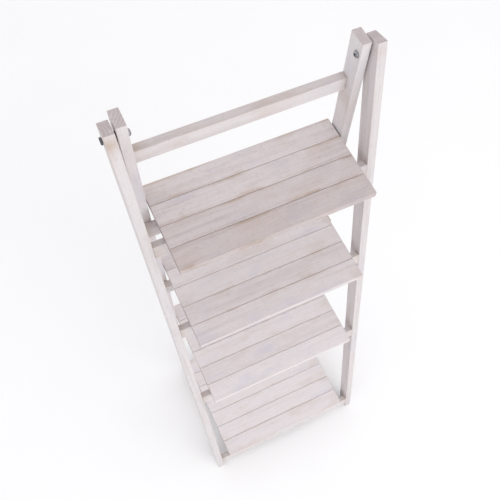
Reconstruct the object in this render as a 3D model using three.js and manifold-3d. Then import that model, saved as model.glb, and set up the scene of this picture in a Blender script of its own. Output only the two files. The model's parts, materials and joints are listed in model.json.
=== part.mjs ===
// Folding ladder shelf: two leaning ladder frames that pivot on bolts near the top,
// and four slatted shelves hinged on the front rungs and resting on the rear rungs.
// Millimetres. +X to the right seen from the front, +Y to the rear, +Z up.
// The origin lies on the floor, in the middle of the footprint.
import * as THREE from 'three';
import { mergeVertices } from 'three/addons/utils/BufferGeometryUtils.js';
import Module from 'manifold-3d';

const wasm = await Module();
wasm.setup();

// ---- Driving dimensions ----
const overallWidth = 420; // across the outer faces of the front legs
const frontLean = THREE.MathUtils.degToRad(13); // front legs lean back
const rearLean = THREE.MathUtils.degToRad(0.75); // rear legs lean forward
const legThickness = 16; // across X
const legDepth = 33;
const legGap = 3; // between a front leg and the rear leg inside it
const frontLegLength = 1162; // along its front face
const pivotBelowTop = { front: 23, rear: 24 }; // along the legs
const pivotFromFace = { front: 25, rear: 9 }; // from the front face of each leg

const shelfWidth = 345;
const boardPitch = 42.3; // front to back, seam included
const seam = 0.5;
const boardThickness = 12;
const battenWidth = 14;
const battenInset = 52; // from the shelf end to the middle of the batten
const battenBehindHinge = 24; // clears the front rung as the shelf swings up
const battenEndMargin = 10; // from the rear edge of the shelf
const restGap = 0.3; // between pieces that rest on each other

// Top surface height, front edge, number of boards and batten height, from the top down. The
// lowest battens are cut down so that the rear rung under them clears the floor.
const shelves = [
  { top: 929, front: 148, boards: 4, batten: 27 },
  { top: 695, front: 108.5, boards: 5, batten: 27 },
  { top: 422, front: 70, boards: 6, batten: 27 },
  { top: 61, front: 7, boards: 7, batten: 17 },
];

const rungThickness = 14;
const rungHeight = 27;
const crossbarThickness = 15;
const crossbarHeight = 26;
const crossbarBelowRearTop = 80;

const boltRadius = 3;
const boreClearance = 0.4;
const boltHeadRadius = 5.8;
const boltHeadHeight = 4.4;
const nutRadius = 5.6;
const nutHeight = 3;
const shankInNut = 2;
const washerRadius = 7;

const hingeOffset = 3; // from the hinge axis to the rung face and to the shelf underside
const hingeLength = 240;
const hingeLeafWidth = { rung: 15, shelf: 20 };
const hingeLeafGap = 0.5; // between the two leaves when the shelf is level
const hingeLeafThickness = 1.2;
const barrelRadius = 2.4;
const hingePinRadius = 1.1;
const knuckleCount = 9;
const knuckleGap = 0.3;

// ---- Sizes that follow ----
const frontLegInside = overallWidth / 2 - legThickness;
const rearLegOutside = frontLegInside - legGap;
const rearLegInside = rearLegOutside - legThickness;
// Both hinge leaves lie between the rung and the shelf.
const rungTopBelowShelf = 2 * (restGap + hingeLeafThickness) + hingeLeafGap;

const pivotAlongFront = frontLegLength - pivotBelowTop.front;
const pivotY = pivotAlongFront * Math.sin(frontLean) + pivotFromFace.front * Math.cos(frontLean);
const pivotZ = pivotAlongFront * Math.cos(frontLean) - pivotFromFace.front * Math.sin(frontLean);

const shelfDepth = (shelf) => shelf.boards * boardPitch - seam;
const rearEdge = Math.max(...shelves.map((shelf) => shelf.front + shelfDepth(shelf)));
const depthCentre = rearEdge / 2;

// Hinge axis of a shelf: just in front of its rung, just under its boards.
const hingeZ = (shelf) => shelf.top - boardThickness - hingeOffset;
const hingeY = (shelf) => hingeZ(shelf) * Math.tan(frontLean) - hingeOffset / Math.cos(frontLean);

// ---- Materials ----
const wood = (color) => new THREE.MeshStandardMaterial({ color, roughness: 0.62, metalness: 0 });
const steel = (color, roughness) =>
  new THREE.MeshStandardMaterial({ color, roughness, metalness: 1 });
const legWood = () => wood(0xe9e4e2);
const rungWood = () => wood(0xe4dedb);
const boardWood = () => wood(0xd9cdc8);
const battenWood = () => wood(0xd6ccc4);
const brightSteel = () => steel(0xb9bbbe, 0.3);
const darkSteel = () => steel(0x55565a, 0.45);

// ---- Geometry helpers ----
function box(sizeX, sizeY, sizeZ, x, y, z) {
  return new THREE.BoxGeometry(sizeX, sizeY, sizeZ).translate(x, y, z);
}

// A round bar along X, centred on the given point.
function barAlongX(radius, length, sides, x, y, z) {
  return new THREE.CylinderGeometry(radius, radius, length, sides)
    .rotateZ(Math.PI / 2)
    .translate(x, y, z);
}

// An outline in the YZ plane, carried along X from fromX to toX.
function slabAlongX(outline, fromX, toX) {
  const shape = new THREE.Shape(outline.map(([y, z]) => new THREE.Vector2(y, z)));
  const slab = new THREE.ExtrudeGeometry(shape, { depth: toX - fromX, bevelEnabled: false });
  const toYZ = new THREE.Matrix4().makeBasis(
    new THREE.Vector3(0, 1, 0),
    new THREE.Vector3(0, 0, 1),
    new THREE.Vector3(1, 0, 0),
  );
  return slab.applyMatrix4(toYZ).translate(fromX, 0, 0);
}

function toSolid(geometry) {
  const bare = geometry.clone();
  bare.deleteAttribute('normal');
  bare.deleteAttribute('uv');
  const merged = mergeVertices(bare, 1e-4);
  return new wasm.Manifold(
    new wasm.Mesh({
      numProp: 3,
      vertProperties: new Float32Array(merged.attributes.position.array),
      triVerts: new Uint32Array(merged.index.array),
    }),
  );
}

function fromSolid(solid) {
  const mesh = solid.getMesh();
  const geometry = new THREE.BufferGeometry();
  geometry.setAttribute('position', new THREE.BufferAttribute(mesh.vertProperties, 3));
  geometry.setIndex(new THREE.BufferAttribute(mesh.triVerts, 1));
  const flat = geometry.toNonIndexed();
  flat.computeVertexNormals();
  return flat;
}

const cut = (solid, cutters) =>
  cutters.reduce((left, cutter) => left.subtract(toSolid(cutter)), solid);

const joined = (solid, additions) =>
  additions.reduce((whole, addition) => whole.add(toSolid(addition)), solid);

// The geometry with every cutter taken out of it.
const drilled = (geometry, cutters) => fromSolid(cut(toSolid(geometry), cutters));

function addMesh(parent, name, geometry, material) {
  const mesh = new THREE.Mesh(geometry, material);
  mesh.name = name;
  parent.add(mesh);
  return mesh;
}

// A turned piece about an X axis through (y, z). The profile gives [radius, distance out from
// the middle plane]; side is +1 on the right and -1 on the left.
function turnedAlongX(profile, sides, side, y, z) {
  const points = profile.map(([radius, out]) => new THREE.Vector2(radius, out));
  return new THREE.LatheGeometry(points, sides)
    .rotateZ((-side * Math.PI) / 2)
    .translate(0, y, z);
}

const bothSides = [-1, 1];
const sideName = (side) => (side < 0 ? 'left' : 'right');

// ---- Hinges: one long hinge under each shelf ----
const knucklePitch = (hingeLength + knuckleGap) / knuckleCount;
const knuckleWidth = knucklePitch - knuckleGap;
const knuckleX = (index) => (index - (knuckleCount - 1) / 2) * knucklePitch;
const knuckleIndexes = Array.from({ length: knuckleCount }, (_, index) => index);
const onRung = (index) => index % 2 === 0;
const onShelf = (index) => !onRung(index);
const barrelSides = 12;
const pinSides = 10;

// One leaf with its own knuckles, about an axis along X through the local origin. The leaf
// runs towards +Y, with the middle of its plate at the given height over the axis.
function hingeLeaf(isOwn, width, plateMiddle) {
  const plate = box(hingeLength, width, hingeLeafThickness, 0, width / 2, plateMiddle);
  const notchSize = 2 * (barrelRadius + knuckleGap);
  const notchLength = knucklePitch + knuckleGap;
  const notches = knuckleIndexes
    .filter((index) => !isOwn(index))
    .map((index) => box(notchLength, notchSize, notchSize, knuckleX(index), 0, plateMiddle));
  const knuckles = knuckleIndexes
    .filter(isOwn)
    .map((index) => barAlongX(barrelRadius, knuckleWidth, barrelSides, knuckleX(index), 0, 0));
  return joined(cut(toSolid(plate), notches), knuckles);
}

// The rung leaf lies on the top of the rung, which leans with the front frame. The pin is
// riveted into its knuckles and turns in those of the shelf leaf.
function rungLeaf() {
  const rungTopOverAxis =
    (hingeOffset * (1 + Math.sin(frontLean)) - rungTopBelowShelf) / Math.cos(frontLean);
  const plateMiddle = rungTopOverAxis + restGap + hingeLeafThickness / 2;
  const pin = barAlongX(hingePinRadius, hingeLength, pinSides, 0, 0, 0);
  return fromSolid(joined(hingeLeaf(onRung, hingeLeafWidth.rung, plateMiddle), [pin]));
}

function shelfLeaf() {
  const plateMiddle = hingeOffset - restGap - hingeLeafThickness / 2;
  const pinBore = barAlongX(hingePinRadius + restGap, hingeLength, pinSides, 0, 0, 0);
  return fromSolid(cut(hingeLeaf(onShelf, hingeLeafWidth.shelf, plateMiddle), [pinBore]));
}

// ---- Front frame: legs, rungs, pivot hardware and the fixed hinge leaves ----
// Local frame: turned back by the lean, y across the leg from its front face, z along the leg.
function frontFrame() {
  const frame = new THREE.Group();
  frame.rotation.x = -frontLean;

  const foot = legDepth * Math.tan(frontLean);
  const outline = [[0, 0], [legDepth, foot], [legDepth, frontLegLength], [0, frontLegLength]];
  for (const side of bothSides) {
    const [fromX, toX] = side < 0
      ? [-overallWidth / 2, -frontLegInside]
      : [frontLegInside, overallWidth / 2];
    const bore = boltBore(side, pivotFromFace.front, pivotAlongFront);
    const leg = drilled(slabAlongX(outline, fromX, toX), [bore]);
    addMesh(frame, `front_leg_${sideName(side)}`, leg, legWood());
    addPivotHardware(frame, side);
  }

  shelves.forEach((shelf, index) => {
    const top = (shelf.top - boardThickness - rungTopBelowShelf) / Math.cos(frontLean);
    const middle = top - rungHeight / 2;
    const rung = box(2 * frontLegInside, rungThickness, rungHeight, 0, rungThickness / 2, middle);
    addMesh(frame, `front_rung_${index + 1}`, rung, rungWood());

    const along = (hingeZ(shelf) - hingeOffset * Math.sin(frontLean)) / Math.cos(frontLean);
    const leaf = addMesh(frame, `hinge_${index + 1}_rung_leaf`, rungLeaf(), brightSteel());
    leaf.position.set(0, -hingeOffset, along);
  });
  return frame;
}

// ---- Pivot hardware, placed in the front frame ----
const boltSides = 24;
const domeSteps = 6;
const washerChamfer = 0.4;
const nutChamfer = 1;

// Passes through both legs of a side.
function boltBore(side, y, z) {
  const length = 2 * legThickness + 4 * legGap;
  const middle = side * (rearLegOutside + legGap / 2);
  return barAlongX(boltRadius + boreClearance, length, boltSides, middle, y, z);
}

// Dome head against the inner face of the rear leg, shank out to the nut.
function boltProfile() {
  const seat = rearLegInside - restGap;
  const shankEnd = overallWidth / 2 + restGap + shankInNut;
  const dome = Array.from({ length: domeSteps + 1 }, (_, step) => {
    const angle = (step / domeSteps) * (Math.PI / 2);
    return [boltHeadRadius * Math.sin(angle), seat - boltHeadHeight * Math.cos(angle)];
  });
  return [...dome, [boltRadius, seat], [boltRadius, shankEnd], [0, shankEnd]];
}

// A ring round the shank between two distances from the middle plane, its outer rim chamfered.
function ringProfile(outer, from, to, chamfer) {
  const inner = boltRadius + boreClearance;
  return [
    [inner, from],
    [outer, from],
    [outer, to - chamfer],
    [outer - chamfer, to],
    [inner, to],
    [inner, from],
  ];
}

function addPivotHardware(frame, side) {
  const nutSeat = overallWidth / 2 + restGap;
  const washerSeats = [rearLegOutside + restGap, frontLegInside - restGap];
  const washer = ringProfile(washerRadius, ...washerSeats, washerChamfer);
  const nut = ringProfile(nutRadius, nutSeat, nutSeat + nutHeight, nutChamfer);
  const turned = (profile) =>
    turnedAlongX(profile, boltSides, side, pivotFromFace.front, pivotAlongFront);
  addMesh(frame, `pivot_bolt_${sideName(side)}`, turned(boltProfile()), brightSteel());
  addMesh(frame, `pivot_washer_${sideName(side)}`, turned(washer), darkSteel());
  addMesh(frame, `pivot_nut_${sideName(side)}`, turned(nut), darkSteel());
}

// ---- Rear frame: legs, rungs and crossbar ----
// Local frame: origin on the pivot axis, turned forward by the lean, z along the leg.
function rearFrame() {
  const frame = new THREE.Group();
  frame.position.set(0, pivotY, pivotZ);
  frame.rotation.x = rearLean;

  const frontFace = -pivotFromFace.rear;
  const rearFace = frontFace + legDepth;
  const floorAt = (y) => -(pivotZ + y * Math.sin(rearLean)) / Math.cos(rearLean);
  const outline = [
    [frontFace, floorAt(frontFace)],
    [rearFace, floorAt(rearFace)],
    [rearFace, pivotBelowTop.rear],
    [frontFace, pivotBelowTop.rear],
  ];

  for (const side of bothSides) {
    const [fromX, toX] = side < 0
      ? [-rearLegOutside, -rearLegInside]
      : [rearLegInside, rearLegOutside];
    const leg = drilled(slabAlongX(outline, fromX, toX), [boltBore(side, 0, 0)]);
    addMesh(frame, `rear_leg_${sideName(side)}`, leg, legWood());
  }

  // The rungs are lapped onto the front faces of the legs. The top one is what stops the frames
  // from closing fully: it comes up close behind the top front rung.
  const rungRear = frontFace - restGap;
  shelves.forEach((shelf, index) => {
    const restZ = shelf.top - boardThickness - shelf.batten - restGap;
    const top = (restZ - pivotZ - rungRear * Math.sin(rearLean)) / Math.cos(rearLean);
    const rungY = rungRear - rungThickness / 2;
    const middle = top - rungHeight / 2;
    const rung = box(2 * rearLegOutside, rungThickness, rungHeight, 0, rungY, middle);
    addMesh(frame, `rear_rung_${index + 1}`, rung, rungWood());
  });

  const barY = rearFace - crossbarThickness / 2;
  const barZ = pivotBelowTop.rear - crossbarBelowRearTop - crossbarHeight / 2;
  const bar = box(2 * rearLegInside, crossbarThickness, crossbarHeight, 0, barY, barZ);
  addMesh(frame, 'top_crossbar', bar, rungWood());
  return frame;
}

// ---- Shelf: boards on two battens, with its hinge leaves ----
// Local frame: origin on the hinge axis.
function shelfPanel(shelf, number) {
  const panel = new THREE.Group();
  panel.position.set(0, hingeY(shelf), hingeZ(shelf));
  const frontEdge = shelf.front - hingeY(shelf);
  const rear = frontEdge + shelfDepth(shelf);

  const boardDepth = boardPitch - seam;
  for (let index = 0; index < shelf.boards; index += 1) {
    const middle = frontEdge + index * boardPitch + boardDepth / 2;
    const board = box(shelfWidth, boardDepth, boardThickness, 0, middle, hingeOffset + boardThickness / 2);
    addMesh(panel, `shelf_${number}_board_${index + 1}`, board, boardWood());
  }

  const battenLength = rear - battenEndMargin - battenBehindHinge;
  const battenY = battenBehindHinge + battenLength / 2;
  const battenZ = hingeOffset - shelf.batten / 2;
  for (const side of bothSides) {
    const battenX = side * (shelfWidth / 2 - battenInset);
    const batten = box(battenWidth, battenLength, shelf.batten, battenX, battenY, battenZ);
    addMesh(panel, `shelf_${number}_batten_${sideName(side)}`, batten, battenWood());
  }
  addMesh(panel, `hinge_${number}_shelf_leaf`, shelfLeaf(), brightSteel());
  return panel;
}

// ---- Assembly ----
const ladderShelf = new THREE.Group();
ladderShelf.position.y = -depthCentre;
ladderShelf.add(frontFrame());
ladderShelf.add(rearFrame());
shelves.forEach((shelf, index) => ladderShelf.add(shelfPanel(shelf, index + 1)));

export default ladderShelf;
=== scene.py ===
import json
import math

import bpy
import numpy as np
from mathutils import Matrix, Vector


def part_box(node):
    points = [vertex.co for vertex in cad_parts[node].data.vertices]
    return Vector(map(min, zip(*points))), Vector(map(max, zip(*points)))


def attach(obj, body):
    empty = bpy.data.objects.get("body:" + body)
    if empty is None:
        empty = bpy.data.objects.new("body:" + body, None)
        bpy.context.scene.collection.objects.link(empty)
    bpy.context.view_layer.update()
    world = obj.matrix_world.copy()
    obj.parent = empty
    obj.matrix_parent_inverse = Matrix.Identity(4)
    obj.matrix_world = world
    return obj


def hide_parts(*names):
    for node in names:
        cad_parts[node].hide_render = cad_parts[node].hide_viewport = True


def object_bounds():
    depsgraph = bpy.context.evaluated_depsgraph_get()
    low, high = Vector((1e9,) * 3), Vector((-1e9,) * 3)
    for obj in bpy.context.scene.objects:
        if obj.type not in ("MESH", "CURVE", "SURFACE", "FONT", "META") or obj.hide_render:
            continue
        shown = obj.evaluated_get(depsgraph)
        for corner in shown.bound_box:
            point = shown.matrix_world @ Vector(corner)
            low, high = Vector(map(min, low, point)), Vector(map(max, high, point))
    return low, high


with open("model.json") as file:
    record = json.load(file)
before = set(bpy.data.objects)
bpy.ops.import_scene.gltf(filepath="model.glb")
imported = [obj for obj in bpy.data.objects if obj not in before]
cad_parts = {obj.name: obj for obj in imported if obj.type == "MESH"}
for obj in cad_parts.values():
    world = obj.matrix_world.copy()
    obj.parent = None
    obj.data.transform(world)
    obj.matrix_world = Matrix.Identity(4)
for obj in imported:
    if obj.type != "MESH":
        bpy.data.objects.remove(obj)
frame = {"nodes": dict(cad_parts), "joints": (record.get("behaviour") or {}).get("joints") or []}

cadLow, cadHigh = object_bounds()
nodes = frame["nodes"]
scene = bpy.context.scene
print("frame loaded,", len(nodes), "nodes")

mm = 0.001
sides = ("left", "right")
shelfNumbers = (1, 2, 3, 4)


def nodePoints(name):
    mesh = nodes[name].data
    points = np.empty(len(mesh.vertices) * 3, np.float32)
    mesh.vertices.foreach_get("co", points)
    return points.reshape(-1, 3).astype(float)


def frontLeanAngle():
    # the hinge axes all lie on one line that leans with the front legs
    places = [joint["pos_m"] for joint in frame["joints"] if joint["name"].startswith("shelf_")]
    top = max(places, key=lambda place: place[2])
    low = min(places, key=lambda place: place[2])
    return math.atan2(top[1] - low[1], top[2] - low[2])


def rearLeanAngle():
    # the line up the rear face of a rear leg, negative because it leans forward
    points = nodePoints("rear_leg_left")
    nearEnd = 2 * mm
    top = points[points[:, 2] > points[:, 2].max() - nearEnd]
    foot = points[points[:, 2] < points[:, 2].min() + nearEnd]
    rearTop = top[top[:, 1].argmax()]
    rearFoot = foot[foot[:, 1].argmax()]
    return math.atan2(rearTop[1] - rearFoot[1], rearTop[2] - rearFoot[2])


leans = {"front": frontLeanAngle(), "rear": rearLeanAngle(), "level": 0.0}
print("leans in degrees:", {name: round(math.degrees(lean), 3) for name, lean in leans.items()})


def leaningAxes(lean):
    # rows: across the ladder, through it from front to rear, and up along the leg
    return np.array([
        (1, 0, 0),
        (0, math.cos(lean), -math.sin(lean)),
        (0, math.sin(lean), math.cos(lean)),
    ])


def gridFaces(rows, columns):
    # quads between neighbouring rings, each ring closed on itself
    row, column = np.meshgrid(np.arange(rows - 1), np.arange(columns), indexing="ij")
    following = (column + 1) % columns
    quads = [row * columns + column, row * columns + following]
    quads += [(row + 1) * columns + following, (row + 1) * columns + column]
    return np.stack(quads, -1).reshape(-1, 4)


def closedTube(rings, turned=False):
    # rings of equal length joined by quads, with a flat face over each end
    rows, columns = rings.shape[:2]
    faces = gridFaces(rows, columns).tolist()
    faces.append(list(range(columns))[::-1])
    faces.append(list(range((rows - 1) * columns, rows * columns)))
    if turned:
        faces = [face[::-1] for face in faces]
    return rings.reshape(-1, 3), faces


def addPiece(name, points, faces, material, smooth=True):
    mesh = bpy.data.meshes.new(name)
    mesh.from_pydata(points.tolist(), [], faces)
    flags = [smooth and len(face) == 4 for face in faces]
    mesh.polygons.foreach_set("use_smooth", flags)
    mesh.materials.append(material)
    mesh.validate()
    mesh.update()
    piece = bpy.data.objects.new(name, mesh)
    scene.collection.objects.link(piece)
    return piece


def addAttribute(piece, name, values):
    values = np.asarray(values, np.float32)
    isVector = values.ndim == 2
    kind = "FLOAT_VECTOR" if isVector else "FLOAT"
    attribute = piece.data.attributes.new(name, kind, "POINT")
    attribute.data.foreach_set("vector" if isVector else "value", values.ravel())


def connect(tree, value, socket):
    if isinstance(value, bpy.types.NodeSocket):
        tree.links.new(value, socket)
    else:
        socket.default_value = value


def mathNode(tree, operation, *values, clamp=False):
    node = tree.nodes.new("ShaderNodeMath")
    node.operation = operation
    node.use_clamp = clamp
    for socket, value in zip(node.inputs, values):
        connect(tree, value, socket)
    return node.outputs[0]


def vectorNode(tree, operation, *values):
    node = tree.nodes.new("ShaderNodeVectorMath")
    node.operation = operation
    for socket, value in zip(node.inputs, values):
        connect(tree, value, socket)
    return node.outputs["Value" if operation == "LENGTH" else "Vector"]


def splitVector(tree, vector):
    node = tree.nodes.new("ShaderNodeSeparateXYZ")
    tree.links.new(vector, node.inputs[0])
    return node.outputs


def joinVector(tree, x, y, z):
    node = tree.nodes.new("ShaderNodeCombineXYZ")
    for socket, value in zip(node.inputs, (x, y, z)):
        connect(tree, value, socket)
    return node.outputs[0]


def noiseNode(tree, vector, scale, detail=3.0, roughness=0.55, distortion=0.0):
    node = tree.nodes.new("ShaderNodeTexNoise")
    tree.links.new(vector, node.inputs["Vector"])
    node.inputs["Scale"].default_value = scale
    node.inputs["Detail"].default_value = detail
    node.inputs["Roughness"].default_value = roughness
    node.inputs["Distortion"].default_value = distortion
    return node.outputs["Fac"]


def rampNode(tree, value, low, high, fromLow=0.0, toHigh=1.0):
    # a soft step of the value between low and high
    node = tree.nodes.new("ShaderNodeMapRange")
    node.interpolation_type = "SMOOTHSTEP"
    for name, setting in zip(("Value", "From Min", "From Max", "To Min", "To Max"),
                             (value, low, high, fromLow, toHigh)):
        connect(tree, setting, node.inputs[name])
    return node.outputs[0]


def mixNode(tree, factor, first, second, blend="MIX"):
    node = tree.nodes.new("ShaderNodeMix")
    node.data_type = "RGBA"
    node.blend_type = blend
    connect(tree, factor, node.inputs[0])
    connect(tree, first, node.inputs[6])
    connect(tree, second, node.inputs[7])
    return node.outputs[2]


def attributeNode(tree, name, output="Vector"):
    node = tree.nodes.new("ShaderNodeAttribute")
    node.attribute_name = name
    return node.outputs[output]


def newGroup(name, inputs, outputs):
    tree = bpy.data.node_groups.new(name, "ShaderNodeTree")
    kinds = {"float": "NodeSocketFloat", "vector": "NodeSocketVector", "color": "NodeSocketColor"}
    for socket, kind in inputs:
        tree.interface.new_socket(socket, in_out="INPUT", socket_type=kinds[kind])
    for socket, kind in outputs:
        tree.interface.new_socket(socket, in_out="OUTPUT", socket_type=kinds[kind])
    return tree, tree.nodes.new("NodeGroupInput").outputs, tree.nodes.new("NodeGroupOutput").inputs


def placeGroup(tree, group, values):
    node = tree.nodes.new("ShaderNodeGroup")
    node.node_tree = group
    for name, value in values.items():
        connect(tree, value, node.inputs[name])
    return node.outputs


def newMaterial(name):
    material = bpy.data.materials.new(name)
    material.use_nodes = True
    return material, material.node_tree, material.node_tree.nodes["Principled BSDF"].inputs


def bumpNode(tree, height, strength, distance):
    node = tree.nodes.new("ShaderNodeBump")
    node.inputs["Strength"].default_value = strength
    node.inputs["Distance"].default_value = distance
    tree.links.new(height, node.inputs["Height"])
    return node.outputs[0]


# each noise: its stretch along, across and through the plank, its scale per metre, its detail,
# its roughness and its distortion
grainNoises = {
    "fine": ((0.022, 1.0, 1.0), 560, 3, 0.6, 0.0),
    "broad": ((0.035, 1.0, 1.0), 105, 3, 0.55, 0.0),
    "drift": ((0.16, 1.0, 1.0), 26, 2, 0.5, 0.0),
    "patch": ((0.42, 1.0, 1.0), 26, 3, 0.6, 0.0),
    "wash": ((0.12, 1.0, 1.0), 75, 4, 0.65, 0.3),
    "pores": ((0.14, 1.0, 1.0), 1050, 2, 0.5, 0.0),
    "curl": ((1.0, 0.45, 0.45), 130, 3, 0.6, 0.4),
}
grainShape = {
    "seedShift": (3.7, 1.9, 2.3), "ringPitch": 4.6 * mm, "ringDrift": 16 * mm, "ringSlope": 0.035,
    "ringBand": (-0.2, 1.0), "pithDepth": 42 * mm, "pithWander": 20 * mm,
    "pithSideRate": 7.1, "pithDepthRate": 3.3, "poreBand": (0.52, 0.68), "curlBand": (0.35, 0.6),
    "edgeBand": (0.4 * mm, 2.4 * mm), "seamBand": (0.8 * mm, 7 * mm), "endBand": (0.2 * mm, 0.6 * mm),
}


def grainNoise(tree, place, name):
    stretch, scale, detail, roughness, distortion = grainNoises[name]
    stretched = vectorNode(tree, "MULTIPLY", place, stretch)
    return noiseNode(tree, stretched, scale, detail, roughness, distortion)


def sineNode(tree, value, rate, size):
    # size times the sine of (value times rate)
    wave = mathNode(tree, "SINE", mathNode(tree, "MULTIPLY", value, rate))
    return mathNode(tree, "MULTIPLY", wave, size)


def makeGrainGroup():
    # place and half are in metres along the length, width and thickness of the plank
    tree, given, result = newGroup(
        "washedGrain",
        [("Place", "vector"), ("Half", "vector"), ("Seed", "float")],
        [("Fine", "float"), ("Broad", "float"), ("Rings", "float"), ("Patch", "float"),
         ("Wash", "float"), ("Fleck", "float"), ("Edge", "float"), ("Seam", "float"),
         ("End", "float")],
    )
    place, half, seed = given["Place"], given["Half"], given["Seed"]
    shift = vectorNode(tree, "SCALE", grainShape["seedShift"])
    connect(tree, seed, shift.node.inputs["Scale"])
    shifted = vectorNode(tree, "ADD", place, shift)
    for name in ("fine", "broad", "patch", "wash"):
        connect(tree, grainNoise(tree, shifted, name), result[name.capitalize()])

    # growth rings: bands of the distance from a pith that wanders beside the plank
    along, across, through = splitVector(tree, place)
    pithSide = sineNode(tree, seed, grainShape["pithSideRate"], grainShape["pithWander"])
    pithDepth = sineNode(tree, seed, grainShape["pithDepthRate"], grainShape["pithWander"])
    pithDepth = mathNode(tree, "ADD", pithDepth, grainShape["pithDepth"])
    fromPith = joinVector(tree, 0.0, mathNode(tree, "ADD", across, pithSide),
                          mathNode(tree, "ADD", through, pithDepth))
    slope = mathNode(tree, "MULTIPLY", along, sineNode(tree, seed, 1.0, grainShape["ringSlope"]))
    drift = mathNode(tree, "MULTIPLY", grainNoise(tree, shifted, "drift"), grainShape["ringDrift"])
    reach = mathNode(tree, "ADD", vectorNode(tree, "LENGTH", fromPith), slope)
    reach = mathNode(tree, "ADD", reach, drift)
    rings = sineNode(tree, reach, 2 * math.pi / grainShape["ringPitch"], 1.0)
    connect(tree, rampNode(tree, rings, *grainShape["ringBand"]), result["Rings"])

    # short dark pores, broken up by curls across the grain
    pores = rampNode(tree, grainNoise(tree, shifted, "pores"), *grainShape["poreBand"])
    curl = rampNode(tree, grainNoise(tree, shifted, "curl"), *grainShape["curlBand"])
    connect(tree, mathNode(tree, "MULTIPLY", pores, curl), result["Fleck"])

    # the second smallest distance to a face is the distance to the nearest edge
    inside = vectorNode(tree, "SUBTRACT", half, vectorNode(tree, "ABSOLUTE", place))
    toEnd, toSide, toFace = splitVector(tree, inside)
    lesser = mathNode(tree, "MINIMUM", toSide, toFace)
    greater = mathNode(tree, "MAXIMUM", toSide, toFace)
    nearest = mathNode(tree, "MAXIMUM", lesser, mathNode(tree, "MINIMUM", greater, toEnd))
    for name, distance in (("edge", nearest), ("seam", toSide), ("end", toEnd)):
        near, far = grainShape[name + "Band"]
        connect(tree, rampNode(tree, distance, near, far, 1.0, 0.0), result[name.capitalize()])
    return tree


grainGroup = makeGrainGroup()

# colours are linear; seam and the joint amount are how strongly the tan shows along seams and at joints,
# where the tan is partly real stain and partly painted shade
woodLooks = {
    "leg_wood": {
        "pale": (0.735, 0.705, 0.715, 1), "warm": (0.64, 0.575, 0.545, 1),
        "cool": (0.61, 0.60, 0.675, 1), "dark": (0.42, 0.36, 0.36, 1),
        "end": (0.44, 0.37, 0.38, 1), "tan": (0.44, 0.30, 0.18, 1),
        "grain": 0.38, "fleck": 0.42, "rings": 0.12, "patch": 0.45,
        "seam": 0.05, "stainAndShade": 0.85, "bump": 0.35,
    },
    "rung_wood": {
        "pale": (0.73, 0.695, 0.70, 1), "warm": (0.63, 0.56, 0.52, 1),
        "cool": (0.60, 0.58, 0.68, 1), "dark": (0.40, 0.34, 0.34, 1),
        "end": (0.41, 0.34, 0.34, 1), "tan": (0.42, 0.28, 0.16, 1),
        "grain": 0.38, "fleck": 0.42, "rings": 0.14, "patch": 0.50,
        "seam": 0.08, "stainAndShade": 0.85, "bump": 0.35,
    },
    "board_wood": {
        "pale": (0.78, 0.735, 0.745, 1), "warm": (0.68, 0.60, 0.565, 1),
        "cool": (0.655, 0.64, 0.71, 1), "dark": (0.47, 0.40, 0.395, 1),
        "end": (0.42, 0.35, 0.35, 1), "tan": (0.46, 0.32, 0.19, 1),
        "grain": 0.34, "fleck": 0.45, "rings": 0.20, "patch": 0.58,
        "seam": 0.55, "stainAndShade": 0.8, "bump": 0.45,
    },
    "batten_wood": {
        "pale": (0.66, 0.61, 0.60, 1), "warm": (0.54, 0.47, 0.42, 1),
        "cool": (0.54, 0.52, 0.58, 1), "dark": (0.36, 0.30, 0.29, 1),
        "end": (0.38, 0.31, 0.31, 1), "tan": (0.40, 0.27, 0.16, 1),
        "grain": 0.32, "fleck": 0.25, "rings": 0.18, "patch": 0.4,
        "seam": 0.1, "stainAndShade": 0.6, "bump": 0.45,
    },
}
# the same tint also carries the painted shade of the top shelf and of the crossbar's top
washAndShadeTint = (0.72, 0.675, 0.66, 1)  # what a plank's colour is multiplied by where it has least wash

# the range of its mask or of the thinness over which each tone comes in
washBands = {
    "showing": (0.0, 0.6), "warmPatch": (0.50, 0.72), "coolPatch": (0.48, 0.28),
    "broad": (0.48, 0.74), "fine": (0.50, 0.76), "thickWash": (0.50, 0.30),
    "seamPatch": (0.47, 0.66), "seamThin": (0.0, 0.9), "joint": (0.25, 0.6),
    "wearAndShade": (0.40, 0.62), "endWash": (0.45, 0.75),
}
washAmounts = {
    "figureLeft": 0.5, "thickWash": 0.55, "seamLeft": 0.12, "jointLeft": 0.45, "wearAndShade": 0.5,
    "endStreak": 0.45, "endWash": 0.5, "end": 0.85,
}
woodGloss = {"base": 0.50, "fine": 0.22, "edge": 0.08, "specular": 0.42}
woodRelief = {"fine": 0.7, "wash": 0.5, "rings": 0.15, "depth": 0.5 * mm}


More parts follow.
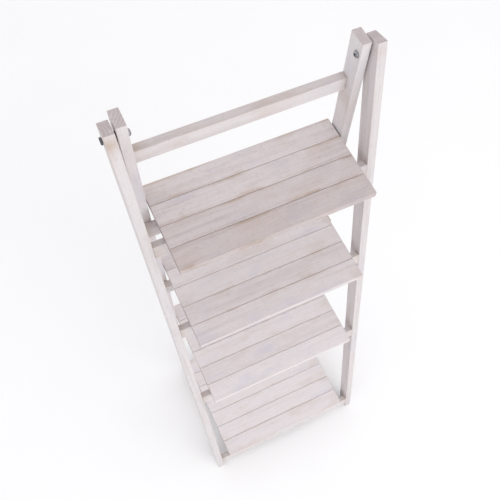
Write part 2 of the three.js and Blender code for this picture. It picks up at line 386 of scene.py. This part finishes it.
def makeWood(slotName):
    look = woodLooks[slotName]
    material, tree, surface = newMaterial(slotName)
    grain = placeGroup(tree, grainGroup, {
        "Place": attributeNode(tree, "plankPlace"),
        "Half": attributeNode(tree, "plankHalf"),
        "Seed": attributeNode(tree, "plankSeed", "Fac"),
    })
    stainAndShade = attributeNode(tree, "plankStainAndShade", "Fac")
    washAndShade = attributeNode(tree, "plankWashAndShade", "Fac")

    def times(first, second):
        return mathNode(tree, "MULTIPLY", first, second)

    def band(mask, name, lowest=0.0, highest=1.0):
        low, high = washBands[name]
        return rampNode(tree, mask, low, high, lowest, highest)

    # a thick wash hides the figure of the wood, a thin one lets it through
    showing = band(washAndShade, "showing", washAmounts["figureLeft"])

    def figure(mask, amount):
        return times(times(mask, amount), showing)

    warmth = times(band(grain["Patch"], "warmPatch"), look["patch"])
    color = mixNode(tree, warmth, look["pale"], look["warm"])
    coolness = times(band(grain["Patch"], "coolPatch"), look["patch"])
    color = mixNode(tree, coolness, color, look["cool"])
    for name in ("Broad", "Fine"):
        lines = figure(band(grain[name], name.lower()), look["grain"])
        color = mixNode(tree, lines, color, look["dark"])
    color = mixNode(tree, figure(grain["Rings"], look["rings"]), color, look["warm"])
    color = mixNode(tree, figure(grain["Fleck"], look["fleck"]), color, look["dark"])
    thickWash = times(band(grain["Wash"], "thickWash"), washAmounts["thickWash"])
    color = mixNode(tree, thickWash, color, look["pale"])

    # warm stain that gathers along the seams in uneven stretches, and tan round the joints that is partly
    # real stain and partly painted shade
    seamMask = times(grain["Seam"], band(grain["Patch"], "seamPatch"))
    seamMask = times(seamMask, band(washAndShade, "seamThin", washAmounts["seamLeft"]))
    color = mixNode(tree, times(seamMask, look["seam"]), color, look["tan"])
    jointMask = times(stainAndShade, band(grain["Wash"], "joint", washAmounts["jointLeft"]))
    color = mixNode(tree, times(jointMask, look["stainAndShade"]), color, look["tan"])

    # the wash is rubbed thin on the edges, in patches
    edgeMask = times(grain["Edge"], band(grain["Wash"], "wearAndShade"))
    color = mixNode(tree, times(edgeMask, washAmounts["wearAndShade"]), color, look["warm"])

    streaks = times(grain["Rings"], washAmounts["endStreak"])
    endColor = mixNode(tree, streaks, look["end"], look["warm"])
    endWash = band(grain["Wash"], "endWash", 0.0, washAmounts["endWash"])
    endColor = mixNode(tree, endWash, endColor, look["pale"])
    color = mixNode(tree, times(grain["End"], washAmounts["end"]), color, endColor)
    # darker where the wash is thin, and painted shade on the top shelf and on the crossbar's top
    color = mixNode(tree, washAndShade, color, washAndShadeTint, "MULTIPLY")
    connect(tree, color, surface["Base Color"])

    roughness = mathNode(tree, "ADD", woodGloss["base"], times(grain["Fine"], woodGloss["fine"]))
    roughness = mathNode(tree, "ADD", roughness, times(edgeMask, woodGloss["edge"]))
    connect(tree, roughness, surface["Roughness"])
    surface["Specular IOR Level"].default_value = woodGloss["specular"]

    height = mathNode(tree, "ADD", times(grain["Fine"], woodRelief["fine"]),
                      times(grain["Wash"], woodRelief["wash"]))
    height = mathNode(tree, "SUBTRACT", height, times(grain["Rings"], woodRelief["rings"]))
    connect(tree, bumpNode(tree, height, look["bump"], woodRelief["depth"]), surface["Normal"])
    return material


woods = {slotName: makeWood(slotName) for slotName in woodLooks}
print("wood materials made")


plankShape = {
    "cornerSteps": 4, "endSteps": 3, "pitch": 14 * mm, "endEase": 0.8, "endSupport": 0.6 * mm,
    "sideFractions": (0.03, 0.2, 0.4, 0.6, 0.8, 0.97),
    "wobble": 0.22 * mm, "waves": 4, "cornerCalm": 0.7,
    "dents": 5, "dentDepth": 0.45 * mm, "dentLength": 5 * mm,
    "firstSeed": 4100, "thinnessSpread": 0.12,
}
easedEdges = {"leg_wood": 1.1 * mm, "rung_wood": 1.0 * mm, "board_wood": 0.9 * mm, "batten_wood": 0.7 * mm}


def easedProfile(halfWidth, halfThickness, radius):
    # points of a rectangle with quarter-circle corners, as a base plus a direction to move in
    inner = np.array([halfWidth - radius, halfThickness - radius])
    centres = inner * np.array([(1, 1), (-1, 1), (-1, -1), (1, -1)])
    fractions = np.array(plankShape["sideFractions"])[:, None]
    bases, directions, corners = [], [], []
    for quarter in range(4):
        angles = math.pi / 2 * (quarter + np.linspace(0, 1, plankShape["cornerSteps"] + 1))
        arc = np.stack([np.cos(angles), np.sin(angles)], 1)
        start, end = centres[quarter], centres[(quarter + 1) % 4]
        bases += [np.repeat(start[None], len(arc), 0), start + (end - start) * fractions]
        directions += [arc, np.repeat(arc[-1:], len(fractions), 0)]
        corners += [np.ones(len(arc)), np.zeros(len(fractions))]
    return np.concatenate(bases), np.concatenate(directions), np.concatenate(corners)


def plankStations(length, radius):
    # distance from the start and how far the end rounding draws the profile in
    turn = np.linspace(0, math.pi / 2, plankShape["endSteps"] + 1)
    endRadius = plankShape["endEase"] * radius
    rise, inset = endRadius * (1 - np.cos(turn)), endRadius * (1 - np.sin(turn))
    support = endRadius + plankShape["endSupport"]
    count = max(3, int(round(length / plankShape["pitch"])))
    middle = np.linspace(support, length - support, count)
    place = np.concatenate([rise, middle, (length - rise)[::-1]])
    drawnIn = np.concatenate([inset, np.zeros(count), inset[::-1]])
    return place, drawnIn


def waves(random, along, around, depth):
    # a few slow sine waves along and round the plank, always inwards
    total = np.zeros((len(along), len(around)))
    for _ in range(plankShape["waves"]):
        rate = random.uniform(4, 22)
        turns = random.integers(0, 3)
        phase = random.uniform(0, 2 * math.pi)
        total += np.sin(along[:, None] * rate + around[None] * turns + phase)
    return depth * (0.5 + total / (2 * plankShape["waves"]))


def dents(random, along, corners, length, depth):
    # small bruises along the four long edges
    total = np.zeros((len(along), len(corners)))
    columns = len(corners) // 4
    for _ in range(plankShape["dents"]):
        place = random.uniform(0.03, 0.97) * length
        quarter = random.integers(0, 4)
        size = random.uniform(0.5, 1.3) * plankShape["dentLength"]
        nearEdge = np.zeros(len(corners))
        nearEdge[quarter * columns:(quarter + 1) * columns] = 1
        bell = np.exp(-((along - place) / size) ** 2)
        total += depth * random.uniform(0.3, 1) * bell[:, None] * (nearEdge * corners)[None]
    return total


plankCount = 0


def facingShare(directions, side):
    # side is a section axis and a direction along it: 1 on the face that looks that way
    axis, sign = side
    return np.clip(directions[:, axis] * sign, 0, 1)[None]


def stainAndShadeAmounts(stainsAndShades, lengthwise, directions):
    # each stain or painted shade is a bell along the plank, on one face with a little spilling to the
    # others
    amount = np.zeros(lengthwise.shape)
    for stainAndShade in stainsAndShades:
        bell = np.exp(-((lengthwise - stainAndShade["at"]) / stainAndShade["reach"]) ** 2)
        facing = 1.0
        if "side" in stainAndShade:
            facing = stainAndShade["spill"] + (1 - stainAndShade["spill"]) * facingShare(directions, stainAndShade["side"])
        amount = np.maximum(amount, stainAndShade["amount"] * bell * facing)
    return amount


def addPlank(node, lean, order, slotName, body, stainsAndShades=(), cutFoot=False, washAndShade=0.2, shadedSide=None):
    # order says which leaning axis is the length, the width and the thickness
    global plankCount
    plankCount += 1
    random = np.random.default_rng(plankShape["firstSeed"] + plankCount)
    axes = leaningAxes(leans[lean])
    local = nodePoints(node) @ axes.T
    low, high = local.min(0)[list(order)], local.max(0)[list(order)]
    middle, half = (low + high) / 2, (high - low) / 2
    radius = easedEdges[slotName]
    bases, directions, corners = easedProfile(half[1], half[2], radius)
    length = 2 * half[0]
    along, drawnIn = plankStations(length, radius)
    around = np.linspace(0, 2 * math.pi, len(bases), endpoint=False)
    inwards = waves(random, along, around, plankShape["wobble"])
    inwards = inwards + dents(random, along, corners, length, plankShape["dentDepth"])
    inwards = inwards * (1 - plankShape["cornerCalm"] * corners)[None]
    inwards = inwards * (drawnIn == 0)[:, None] + drawnIn[:, None]
    section = bases[None] + directions[None] * (radius - inwards)[..., None]

    start = np.full(section.shape[:2], low[0])
    if cutFoot:
        # the foot is cut level: along the leg it follows the tangent of the lean
        start = (section[..., 0] + middle[1]) * math.tan(leans[lean])
    share = (along / length)[:, None]
    lengthwise = start + (high[0] - start) * share

    local = np.empty(section.shape[:2] + (3,))
    local[..., order[0]] = lengthwise
    local[..., order[1]] = section[..., 0] + middle[1]
    local[..., order[2]] = section[..., 1] + middle[2]
    mirrored = np.linalg.det(np.eye(3)[list(order)]) < 0
    points, faces = closedTube(local @ axes, turned=not mirrored)
    piece = addPiece(node + "_plank", points, faces, woods[slotName])

    fromMiddle = np.broadcast_to((share - 0.5) * length, section.shape[:2])
    place = np.stack([fromMiddle, section[..., 0], section[..., 1]], -1)
    addAttribute(piece, "plankPlace", place.reshape(-1, 3))
    addAttribute(piece, "plankHalf", np.tile(half, (len(points), 1)))
    addAttribute(piece, "plankSeed", np.full(len(points), random.uniform(0.5, 9.5)))
    spread = plankShape["thinnessSpread"]
    washAndShade = np.clip(washAndShade + random.uniform(-spread, spread), 0, 1)
    # the wash's thinness with painted shade in it; a given side, such as the crossbar's top, is painted
    # darker still as painted shade
    wearAndShade = np.full(section.shape[:2], washAndShade)
    if shadedSide:
        wearAndShade += shadedSide["amount"] * facingShare(directions, shadedSide["side"])
    addAttribute(piece, "plankWashAndShade", wearAndShade.ravel())
    addAttribute(piece, "plankStainAndShade", stainAndShadeAmounts(stainsAndShades, lengthwise, directions).ravel())
    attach(piece, body)
    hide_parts(node)


def heightAlong(node, lean, top=True):
    # how far up the leaning axis a node's top or underside lies
    local = nodePoints(node) @ leaningAxes(leans[lean]).T
    return local[:, 2].max() if top else local[:, 2].min()


legOrder = (2, 1, 0)
rungOrder = (0, 2, 1)
boardOrder = (0, 1, 2)
battenOrder = (1, 2, 0)

# tan on the legs: painted shade just above each rung (the shelves' shadow on the rear legs) and under the
# crossbar, and a real stain below the front legs' tops
legMarks = {
    "rungReach": 9 * mm, "shelfReach": 16 * mm, "amount": 0.30, "spill": 0.12,
    "topDrop": 15 * mm, "topReach": 12 * mm, "topSpill": 0.3,
    "topAmount": {"left": 0.75, "right": 0.2},
    "barDrop": 14 * mm, "barReach": 14 * mm, "barSpill": 0.1,
    "barAmount": {"left": 0.15, "right": 0.4},
}
sectionFront = (0, -1)  # a leg's section runs front to rear, then across the ladder


def paintedJointShade(rungNode, lean, reach, side):
    # painted shade just above a rung, on one face of the leg that it joins
    return {"at": heightAlong(rungNode, lean) + 0.5 * reach, "reach": reach, "side": side,
            "amount": legMarks["amount"], "spill": legMarks["spill"]}


def addLegs():
    for side, outward in zip(sides, (-1, 1)):
        inner = (1, -outward)
        frontShadesAndStain = [paintedJointShade(f"front_rung_{number}", "front", legMarks["rungReach"], inner)
                       for number in shelfNumbers]
        rearShades = [paintedJointShade(f"rear_rung_{number}", "rear", legMarks["shelfReach"], sectionFront)
                      for number in shelfNumbers]
        # a real stain below the top of each front leg
        top = heightAlong(f"front_leg_{side}", "front")
        frontShadesAndStain.append({"at": top - legMarks["topDrop"], "reach": legMarks["topReach"],
                            "side": sectionFront, "spill": legMarks["topSpill"],
                            "amount": legMarks["topAmount"][side]})
        # painted shade under the crossbar, on the rear leg's inner face
        barLow = heightAlong("top_crossbar", "rear", top=False)
        rearShades.append({"at": barLow - legMarks["barDrop"], "reach": legMarks["barReach"],
                           "side": inner, "spill": legMarks["barSpill"],
                           "amount": legMarks["barAmount"][side]})
        for lean, stainsAndShades in (("front", frontShadesAndStain), ("rear", rearShades)):
            addPlank(f"{lean}_leg_{side}", lean, legOrder, "leg_wood", f"{lean}_frame", stainsAndShades,
                     cutFoot=True)


# a darker tan at both ends of each rung, where it meets the legs
rungMarks = {"reach": 10 * mm, "lowAmount": 0.45, "highAmount": 0.35}
# a real tan stain near the crossbar's left end and a smaller tan mark at its right end; its top face is
# painted darker, as painted shade
barMarks = {
    "lowInset": 7 * mm, "lowReach": 8 * mm, "lowAmount": 0.8, "lowSpill": 0.25,
    "highReach": 7 * mm, "highAmount": 0.3, "topShade": 0.6,
}
sectionTop = (0, 1)  # a rung's section runs up, then front to rear


def addRungs():
    for lean in ("front", "rear"):
        for number in shelfNumbers:
            node = f"{lean}_rung_{number}"
            low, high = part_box(node)
            stainsAndShades = [{"at": low.x, "reach": rungMarks["reach"], "amount": rungMarks["lowAmount"]},
                      {"at": high.x, "reach": rungMarks["reach"], "amount": rungMarks["highAmount"]}]
            addPlank(node, lean, rungOrder, "rung_wood", f"{lean}_frame", stainsAndShades)
    low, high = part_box("top_crossbar")
    stainsAndShades = [{"at": low.x + barMarks["lowInset"], "reach": barMarks["lowReach"],
               "amount": barMarks["lowAmount"], "side": sectionTop, "spill": barMarks["lowSpill"]},
              {"at": high.x, "reach": barMarks["highReach"], "amount": barMarks["highAmount"]}]
    addPlank("top_crossbar", "rear", rungOrder, "rung_wood", "rear_frame", stainsAndShades, washAndShade=0,
             shadedSide={"side": sectionTop, "amount": barMarks["topShade"]})


# how thin the wash is at the front and rear board, with painted shade in it: the top shelf is painted
# darker and the lower shelves lighter, for how the light falls on them
shelfShade = {1: (1.0, 0.5), 2: (0.3, 0.2), 3: (0.12, 0.05), 4: (0.1, 0.1)}


def addShelves():
    for number in shelfNumbers:
        body = f"shelf_{number}"
        boards = sorted(node for node in nodes if node.startswith(f"shelf_{number}_board_"))
        for board, washAndShade in zip(boards, np.linspace(*shelfShade[number], len(boards))):
            addPlank(board, "level", boardOrder, "board_wood", body, washAndShade=washAndShade)
        for side in sides:
            addPlank(f"shelf_{number}_batten_{side}", "level", battenOrder, "batten_wood", body)


addLegs()
addRungs()
addShelves()
print("planks made:", plankCount)


steelMarks = {
    "scuffScale": 160, "scratchScale": 2600, "scratchStretch": (0.05, 1.0, 1.0), "spotScale": 420,
    "scuffBand": (0.42, 0.68), "spotBand": (0.60, 0.70), "spotShade": 0.45,
    "scuffRoughness": 0.25, "spotRoughness": 0.2, "scratchBump": 0.25, "scratchDepth": 0.05 * mm,
}


def makeSteelGroup():
    # scuffs, fine scratches and dull spots, as masks
    tree, given, result = newGroup(
        "handledSteel", [("Place", "vector")],
        [("Scuff", "float"), ("Scratch", "float"), ("Spots", "float")])
    place = given["Place"]
    connect(tree, noiseNode(tree, place, steelMarks["scuffScale"], 4, 0.6), result["Scuff"])
    lines = vectorNode(tree, "MULTIPLY", place, steelMarks["scratchStretch"])
    connect(tree, noiseNode(tree, lines, steelMarks["scratchScale"], 2, 0.6), result["Scratch"])
    spots = noiseNode(tree, place, steelMarks["spotScale"], 2, 0.5)
    connect(tree, rampNode(tree, spots, *steelMarks["spotBand"]), result["Spots"])
    return tree


steelGroup = makeSteelGroup()

steelLooks = {
    "bright_steel": {"bright": (0.40, 0.40, 0.42, 1), "dull": (0.22, 0.22, 0.235, 1),
                     "spot": (0.20, 0.16, 0.13, 1), "roughness": 0.26},
    "dark_steel": {"bright": (0.16, 0.16, 0.17, 1), "dull": (0.07, 0.07, 0.075, 1),
                   "spot": (0.12, 0.09, 0.07, 1), "roughness": 0.40},
}


def objectPlace(tree):
    return tree.nodes.new("ShaderNodeTexCoord").outputs["Object"]


def scratchBump(tree, marks):
    return bumpNode(tree, marks["Scratch"], steelMarks["scratchBump"], steelMarks["scratchDepth"])


def makeSteel(slotName):
    look = steelLooks[slotName]
    material, tree, surface = newMaterial(slotName)
    marks = placeGroup(tree, steelGroup, {"Place": objectPlace(tree)})
    scuff = rampNode(tree, marks["Scuff"], *steelMarks["scuffBand"])
    color = mixNode(tree, scuff, look["bright"], look["dull"])
    spots = mathNode(tree, "MULTIPLY", marks["Spots"], steelMarks["spotShade"])
    connect(tree, mixNode(tree, spots, color, look["spot"]), surface["Base Color"])
    surface["Metallic"].default_value = 1.0
    scuffed = mathNode(tree, "MULTIPLY", marks["Scuff"], steelMarks["scuffRoughness"])
    spotted = mathNode(tree, "MULTIPLY", marks["Spots"], steelMarks["spotRoughness"])
    roughness = mathNode(tree, "ADD", look["roughness"], scuffed)
    connect(tree, mathNode(tree, "ADD", roughness, spotted), surface["Roughness"])
    connect(tree, scratchBump(tree, marks), surface["Normal"])
    return material


steels = {slotName: makeSteel(slotName) for slotName in steelLooks}

hingeLook = {
    "zincDull": (0.50, 0.50, 0.50, 1), "zincBright": (0.66, 0.66, 0.67, 1),
    "film": (0.70, 0.67, 0.67, 1), "filmBand": (0.36, 0.60), "filmCover": 0.9,
    "roughness": 0.34, "filmRoughness": 0.3,
}


def makeHingeSteel():
    # zinc-plated leaves that caught a thin, patchy film of the wash
    look = hingeLook
    material, tree, surface = newMaterial("hinge_steel")
    marks = placeGroup(tree, steelGroup, {"Place": objectPlace(tree)})
    zinc = mixNode(tree, marks["Scuff"], look["zincDull"], look["zincBright"])
    film = rampNode(tree, marks["Scuff"], *look["filmBand"])
    connect(tree, mixNode(tree, film, zinc, look["film"]), surface["Base Color"])
    covered = mathNode(tree, "MULTIPLY", film, look["filmCover"])
    connect(tree, mathNode(tree, "SUBTRACT", 1.0, covered), surface["Metallic"])
    rough = mathNode(tree, "MULTIPLY", film, look["filmRoughness"])
    connect(tree, mathNode(tree, "ADD", look["roughness"], rough), surface["Roughness"])
    connect(tree, scratchBump(tree, marks), surface["Normal"])
    return material


hingeSteel = makeHingeSteel()

# the socket's floor and wall are painted near black, as painted shade in the recess, with a faint mottle
socketShadeLook = {
    "mottleScale": 900, "dark": (0.012, 0.011, 0.011, 1), "pale": (0.05, 0.045, 0.04, 1),
    "roughness": 0.55, "mottleRoughness": 0.3,
}


def makeSocketShade():
    look = socketShadeLook
    material, tree, surface = newMaterial("socket_painted_shade")
    mottle = noiseNode(tree, objectPlace(tree), look["mottleScale"], 3, 0.6)
    connect(tree, mixNode(tree, mottle, look["dark"], look["pale"]), surface["Base Color"])
    rough = mathNode(tree, "MULTIPLY", mottle, look["mottleRoughness"])
    connect(tree, mathNode(tree, "ADD", look["roughness"], rough), surface["Roughness"])
    return material


socketShade = makeSocketShade()

# a ring on the socket's floor is (share of the hexagon, depth under the floor's edge), and one
# at its mouth is (widening, depth under the dome at the mouth)
boltShape = {
    "sides": 48, "hexAcross": 2.1 * mm, "socketDepth": 2.6 * mm, "headHeight": 4.4 * mm,
    "shankRadius": 3 * mm, "floorRings": ((0.02, 0.3 * mm), (0.6, 0.1 * mm), (1, 0)),
    "mouthRings": ((0, 0.5 * mm), (0.1 * mm, 0.15 * mm)), "domeStart": 0.12, "domeRings": 9,
    "rimHeight": 0.4 * mm, "rimEase": 0.2 * mm, "filletOut": 0.3 * mm, "filletUp": 0.2 * mm,
    "tipChamfer": 0.5 * mm,
}
ringShape = {
    "bore": 3.2 * mm, "boreEase": 0.3 * mm, "easeShare": 0.6,
    "nutChamfer": 0.9 * mm, "washerEase": 0.25 * mm,
}


def boxMiddle(node):
    low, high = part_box(node)
    return (low + high) / 2, high - low


def hexRadius(angles, inscribed):
    # a hexagon's edge: the inscribed radius over the cosine of the angle from the nearest flat
    sector = math.pi / 3
    fromFlat = (angles + sector / 2) % sector - sector / 2
    return inscribed / np.cos(fromFlat)


def turnedRings(profile, angles, centre, outward):
    # a surface round an axis along X; each entry is (radius, distance out), and either of them
    # may be one value or a value for every angle
    rings = []
    for radius, out in profile:
        radius, out = np.broadcast_to(radius, angles.shape), np.broadcast_to(out, angles.shape)
        ring = np.stack([out * outward, radius * np.cos(angles), radius * np.sin(angles)], -1)
        rings.append(ring + np.array([0, centre.y, centre.z]))
    return np.array(rings)


def addBolt(side, outward):
    node = f"pivot_bolt_{side}"
    shape = boltShape
    low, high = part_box(node)
    middle, size = boxMiddle(node)
    headRadius = size.y / 2
    inside, outside = sorted((abs(low.x), abs(high.x)))
    seat = inside + shape["headHeight"]
    shank = shape["shankRadius"]
    angles = np.linspace(0, 2 * math.pi, shape["sides"], endpoint=False)
    hexagon = hexRadius(angles, shape["hexAcross"])
    floorOut = inside + shape["socketDepth"]

    def domeOut(radius):
        # the head's face: a quarter ellipse from the crown to the rim
        return seat - shape["headHeight"] * np.sqrt(np.clip(1 - (radius / headRadius) ** 2, 0, 1))

    mouthOut = float(domeOut(shape["hexAcross"]))
    profile = [(hexagon * share, floorOut + depth) for share, depth in shape["floorRings"]]
    profile += [(hexagon + wider, mouthOut + depth) for wider, depth in shape["mouthRings"]]
    for share in np.linspace(shape["domeStart"], 1, shape["domeRings"]):
        radius = hexagon + (headRadius - hexagon) * math.sin(share * math.pi / 2)
        profile.append((radius, domeOut(radius)))
    profile += [
        (headRadius, seat - shape["rimHeight"]), (headRadius - shape["rimEase"], seat),
        (shank + shape["filletOut"], seat), (shank, seat + shape["filletUp"]),
        (shank, outside - shape["tipChamfer"]), (shank - shape["tipChamfer"], outside),
    ]
    rings = turnedRings(profile, angles, middle, outward)
    points, faces = closedTube(rings, turned=outward < 0)
    piece = addPiece(node + "_socket_head", points, faces, steels["bright_steel"])
    # the socket takes the near-black painted shade
    piece.data.materials.append(socketShade)
    # the socket's faces: the quads of its floor and wall, and the face that closes the floor
    socketQuads = len(shape["floorRings"]) * shape["sides"]
    floorFace = len(faces) - 2
    isSocket = [int(index < socketQuads or index == floorFace) for index in range(len(faces))]
    piece.data.polygons.foreach_set("material_index", isSocket)
    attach(piece, "front_frame")
    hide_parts(node)


def ringShell(inner, outer, start, end, ease, middle, outward, hexagonal):
    # a closed ring: bore, both faces and the rim, with the rim's edges eased
    angles = np.linspace(0, 2 * math.pi, boltShape["sides"], endpoint=False)
    rim = outer
    if hexagonal:
        rim = np.minimum(hexRadius(angles, outer * math.cos(math.pi / 6)), outer)
    shoulder = np.minimum(rim, outer - ease)
    easeDepth = ringShape["easeShare"] * ease
    boreEase = ringShape["boreEase"]
    profile = [(inner, start), (shoulder, start), (rim, start + easeDepth), (rim, end - easeDepth),
               (shoulder, end), (inner + boreEase, end), (inner, end - boreEase)]
    rings = turnedRings(profile, angles, middle, outward)
    rows, columns = rings.shape[:2]
    faces = (gridFaces(rows + 1, columns) % (rows * columns)).tolist()
    if outward < 0:
        faces = [face[::-1] for face in faces]
    return rings.reshape(-1, 3), faces


def addRing(node, ease, hexagonal, outward):
    low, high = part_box(node)
    middle, size = boxMiddle(node)
    start, end = sorted((abs(low.x), abs(high.x)))
    bore = ringShape["bore"]
    points, faces = ringShell(bore, size.y / 2, start, end, ease, middle, outward, hexagonal)
    piece = addPiece(node + "_ring", points, faces, steels["dark_steel"], smooth=not hexagonal)
    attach(piece, "front_frame")
    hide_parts(node)


for side, outward in zip(sides, (-1, 1)):
    addBolt(side, outward)
    addRing(f"pivot_washer_{side}", ringShape["washerEase"], False, outward)
    addRing(f"pivot_nut_{side}", ringShape["nutChamfer"], True, outward)
print("bolts, washers and nuts made")

for number in shelfNumbers:
    for leaf in ("rung", "shelf"):
        node = nodes[f"hinge_{number}_{leaf}_leaf"]
        node.data.materials.clear()
        node.data.materials.append(hingeSteel)
print("hinges given their finish")


stageLook = {
    "size": 40.0, "floor": (0.95, 0.95, 0.95, 1), "floorDrift": (0.92, 0.92, 0.925, 1),
    "floorScale": 3, "floorRoughness": 0.8, "air": (0.99, 0.985, 1.0, 1), "airStrength": 1.0,
}
softbox = {
    "right": 0.8, "before": 2.2, "above": 0.8, "width": 2.4, "height": 2.2,
    "power": 22, "color": (1.0, 0.99, 0.975),
}


def makeFloor():
    material, tree, surface = newMaterial("pale_floor")
    soft = noiseNode(tree, objectPlace(tree), stageLook["floorScale"], 3, 0.5)
    color = mixNode(tree, soft, stageLook["floor"], stageLook["floorDrift"])
    connect(tree, color, surface["Base Color"])
    surface["Roughness"].default_value = stageLook["floorRoughness"]
    half = stageLook["size"] / 2
    points = np.array([(-half, -half, 0), (half, -half, 0), (half, half, 0), (-half, half, 0)])
    floor = addPiece("studio_floor", points, [[0, 1, 2, 3]], material)


def makeAir():
    world = bpy.data.worlds.new("soft_air")
    world.use_nodes = True
    background = world.node_tree.nodes["Background"]
    background.inputs["Color"].default_value = stageLook["air"]
    background.inputs["Strength"].default_value = stageLook["airStrength"]
    scene.world = world


def addSoftbox(target):
    lamp = bpy.data.lights.new("front_softbox", "AREA")
    lamp.shape = "RECTANGLE"
    lamp.size, lamp.size_y = softbox["width"], softbox["height"]
    lamp.energy = softbox["power"]
    lamp.color = softbox["color"]
    holder = bpy.data.objects.new("front_softbox", lamp)
    holder.location = (target.x + softbox["right"], cadLow.y - softbox["before"],
                       cadHigh.z + softbox["above"])
    holder.rotation_mode = "QUATERNION"
    holder.rotation_quaternion = (target - holder.location).to_track_quat("-Z", "Y")
    scene.collection.objects.link(holder)


makeFloor()
makeAir()
middle = (cadLow + cadHigh) / 2
addSoftbox(middle)

# where the eye stands: left of the middle, in front of the front edge and above the top
cameraPlace = {
    "left": 0.2565, "before": 0.2608, "above": 0.6165,
    "yaw": 0.536029, "pitch": 1.128587, "roll": 0.093237,
    "lens": 43.447, "sensor": 36, "shiftX": -0.0397, "shiftY": 0.0676,
}


def addCamera():
    # yaw turns the look to the right, pitch down, and roll turns the picture
    yaw, pitch, roll = cameraPlace["yaw"], cameraPlace["pitch"], cameraPlace["roll"]
    ahead = Vector((math.sin(yaw), math.cos(yaw), 0))
    forward = math.cos(pitch) * ahead - math.sin(pitch) * Vector((0, 0, 1))
    level = Vector((math.cos(yaw), -math.sin(yaw), 0))
    up = level.cross(forward)
    right = math.cos(roll) * level + math.sin(roll) * up
    up = -math.sin(roll) * level + math.cos(roll) * up
    camera = bpy.data.cameras.new("camera")
    camera.lens = cameraPlace["lens"]
    camera.sensor_width = cameraPlace["sensor"]
    camera.shift_x, camera.shift_y = cameraPlace["shiftX"], cameraPlace["shiftY"]
    holder = bpy.data.objects.new("camera", camera)
    holder.matrix_world = Matrix((right, up, -forward)).transposed().to_4x4()
    holder.location = (middle.x - cameraPlace["left"], cadLow.y - cameraPlace["before"],
                       cadHigh.z + cameraPlace["above"])
    scene.collection.objects.link(holder)
    scene.camera = holder


addCamera()
scene.view_settings.view_transform = "Standard"
print("stage, light and camera set")
